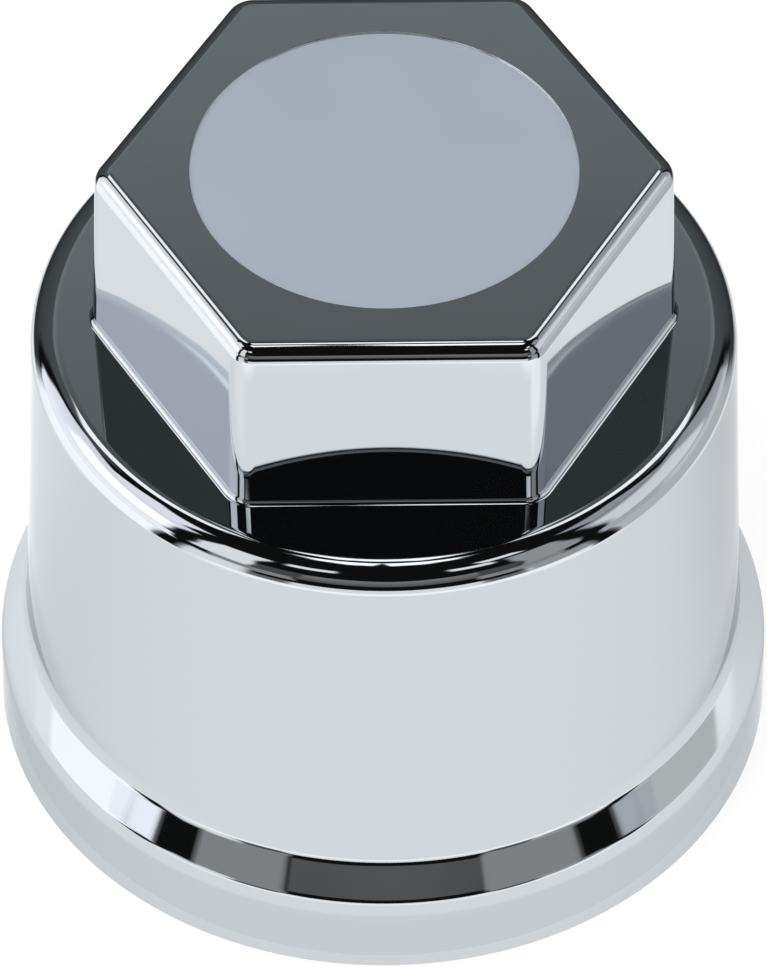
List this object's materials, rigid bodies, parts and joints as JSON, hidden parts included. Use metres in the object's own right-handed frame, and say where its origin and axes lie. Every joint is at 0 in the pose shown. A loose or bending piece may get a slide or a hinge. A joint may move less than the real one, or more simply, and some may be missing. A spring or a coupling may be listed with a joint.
{
  "type": "lug nut cap",
  "caption": "Chromed push-on cap for a truck wheel nut: a hexagonal head on a round drum with a flared foot, hollow and open underneath.",
  "frame": {"origin": "centre of the flat ring at the foot of the flange", "axes": "+Z along the cap's axis, from the wheel out to the crown; -Y out of one flat of the hexagonal head"},
  "size_m": [0.06, 0.06, 0.056],
  "materials": {
    "chrome": "bright plating on a moulded shell, with a satin disc on the crown"
  },
  "bodies": {
    "root": {"nut_cap": "chrome"}
  },
  "joints": []
}
